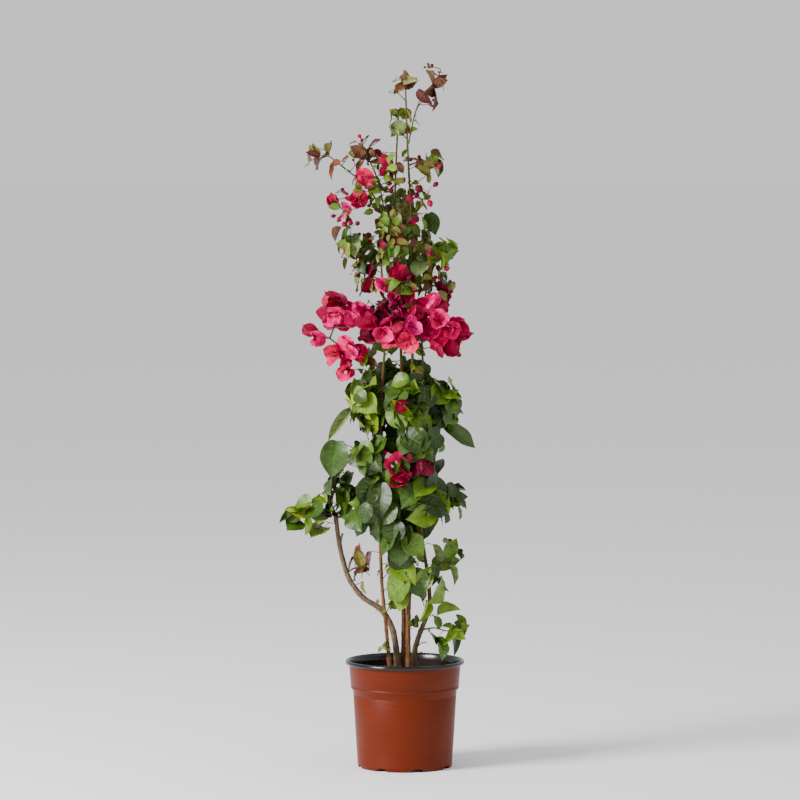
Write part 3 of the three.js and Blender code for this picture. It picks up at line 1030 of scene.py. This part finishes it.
def make_pot():
    """The outside with its drain notches, the black lip and the lining, as (radius, height) profiles."""
    outside = [
        (0.1, 0.0), (70.5, 0.0), (70.7, 0.05), (74.4, 0.05), (75.2, 0.9), (75.5, 5.4), (75.9, 5.9),
        (75.7, 6.5), (79.2, 60), (82.3, 114.6), (81.9, 115.4), (81.9, 116.2), (82.5, 117), (83.0, 122.6),
        (83.6, 124.0), (85.8, 125.6), (86.4, 127.0), (86.4, 129.2), (85.8, 129.9), (85.8, 130.6),
        (86.6, 131.3), (88.4, 157), (89.0, 163.4), (89.5, 164.2),
    ]  # fmt: skip
    lip = [
        (89.5, 164.2), (92.6, 164.3), (94.2, 165.0), (94.9, 166.4), (95.0, 168.0), (94.4, 169.8),
        (93.2, 170.8), (91.6, 171.0), (90.3, 170.4), (89.0, 168.8), (87.6, 165), (87.0, 161),
    ]  # fmt: skip
    lining = [(87.0, 161), (85.0, 140), (84.0, 128), (80.4, 122), (79.6, 114), (73.0, 3.0), (0.1, 3.0)]
    pile = Pile("pot_shell", "pot")
    pile.add(*lathe(outside, notch_lift), "pot_outside")
    pile.add(*lathe(lip), "lip_black")
    pile.add(*lathe(lining), "pot_lining")
    pile.build("pot")


SOIL_RINGS = np.append(np.linspace(0.2, 84, 46), 85.6)  # radii
SOIL_FOOT = (85.2, 135)  # radius and height at which the soil's side ends
SOIL_SUNK = 1  # how far the rough surface's mean is under the top of the CAD's soil
LUMPS = ((2, 9, 1), (1, 3, 5))  # how high, how wide, and how far up in the noise
CRUMBS = 700
CRUMBS_WITHIN = 83  # radius
CRUMB_SIZES = (1.2, 4.2)
CRUMB_SUNK = 0.6
CRUMB_WIDTH = 0.75  # share of its length
CRUMB_LIGHT = 0.35  # share of the crumbs that are of the lighter colour


def make_soil():
    """A rough disc of compost with crumbs on it."""
    pile = Pile("compost", "soil")
    profile = [(radius, SOIL_TOP - SOIL_SUNK) for radius in SOIL_RINGS] + [SOIL_FOOT]

    def rough(i, turn, height):
        if i == len(profile) - 1:
            return np.full(len(turn), float(height))
        heights = np.full(len(turn), float(height))
        for high, wide, layer in LUMPS:
            far = profile[i][0] / wide
            places = [Vector((far * math.cos(a), far * math.sin(a), layer)) for a in turn]
            heights += [high * noise.noise(place) for place in places]
        return heights

    points, triangles = lathe(profile, rough)
    pile.add(points, triangles[:, ::-1], "soil")
    pile.build("soil")
    crumbs = Pile("compost_crumbs", "soil")
    for _ in range(CRUMBS):
        radius = CRUMBS_WITHIN * math.sqrt(rng.random())
        turn = rng.uniform(0, 2 * math.pi)
        centre = np.array([radius * math.cos(turn), radius * math.sin(turn), SOIL_TOP - CRUMB_SUNK])
        size = rng.uniform(*CRUMB_SIZES)
        crumb = blob(centre, unit(rng.normal(size=3)), size, CRUMB_WIDTH * size)
        crumbs.add(*crumb, "crumb" if rng.random() < CRUMB_LIGHT else "soil")
    crumbs.build()


# ---- Stage, in metres ---------------------------------------------------------------------

FLOOR_RADIUS = 60
FLOOR_SIDES = 96
FLOOR_COLOUR = (0.97, 0.97, 0.97, 1)
FLOOR_ROUGHNESS = 0.9
SKY_COLOUR = (1, 1, 1, 1)
SKY_STRENGTH = 0.85
LAMPS = {  # place, width, watts
    "key": ((-3.0, -1.9, 2.1), 1.4, 300),
    "fill": ((2.6, -2.2, 1.6), 2.0, 8),
}
LAMP_TARGET = Vector((0, 0, 0.6))
CAMERA_PLACE = (-0.0078, -6.6627, 1.031)
CAMERA_DOWN = 3.82  # degrees under level
CAMERA_LENS = 189  # millimetres, as is the sensor
CAMERA_SENSOR = 36
CAMERA_END = 200


def make_floor():
    bpy.ops.mesh.primitive_circle_add(vertices=FLOOR_SIDES, radius=FLOOR_RADIUS, fill_type="NGON")
    floor = bpy.context.object
    floor.name = "floor"
    paper = bpy.data.materials.new("floor")
    paper.use_nodes = True
    shader = paper.node_tree.nodes["Principled BSDF"]
    shader.inputs["Base Color"].default_value = FLOOR_COLOUR
    shader.inputs["Roughness"].default_value = FLOOR_ROUGHNESS
    floor.data.materials.append(paper)


def make_lights():
    """An even white sky, a key light on the left and a faint fill on the right."""
    world = bpy.data.worlds.new("studio")
    bpy.context.scene.world = world
    world.use_nodes = True
    world.node_tree.nodes["Background"].inputs["Color"].default_value = SKY_COLOUR
    world.node_tree.nodes["Background"].inputs["Strength"].default_value = SKY_STRENGTH
    for name, (place, size, power) in LAMPS.items():
        data = bpy.data.lights.new(name, "AREA")
        data.size = size
        data.energy = power
        light = bpy.data.objects.new(name, data)
        bpy.context.scene.collection.objects.link(light)
        light.location = place
        light.rotation_euler = (LAMP_TARGET - light.location).to_track_quat("-Z", "Y").to_euler()


def make_camera():
    camera = bpy.data.objects.new("camera", bpy.data.cameras.new("camera"))
    bpy.context.scene.collection.objects.link(camera)
    camera.location = CAMERA_PLACE
    camera.rotation_euler = (math.radians(90 - CAMERA_DOWN), 0, 0)
    camera.data.lens = CAMERA_LENS
    camera.data.sensor_width = CAMERA_SENSOR
    camera.data.clip_end = CAMERA_END
    bpy.context.scene.camera = camera


# ---- The plant ----------------------------------------------------------------------------

make_pot()
make_soil()
woody = [make_stem(bark, names, seed) for seed, (bark, *names) in enumerate(LIMBS)]
make_thorns(woody)
for single in SINGLE_LEAVES:
    grow_single(single)
for path, radii in woody:
    grow_side_shoots(path, radii)
masses = [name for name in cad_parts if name.split("_")[0] in ("leaves", "young", "bracts")]
masses.sort(key=lambda name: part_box(name)[0].z)
for mass in masses:
    grow_mass(mass)

leaves.build(*[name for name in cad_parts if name.split("_")[0] in ("leaf", "leaves")])
young_leaves.build(*[name for name in masses if name.startswith("young")])
bracts.build(*[name for name in masses if name.startswith("bracts")])
flowers.build()
stalks.build()
twigs.build()
make_floor()
make_lights()
make_camera()
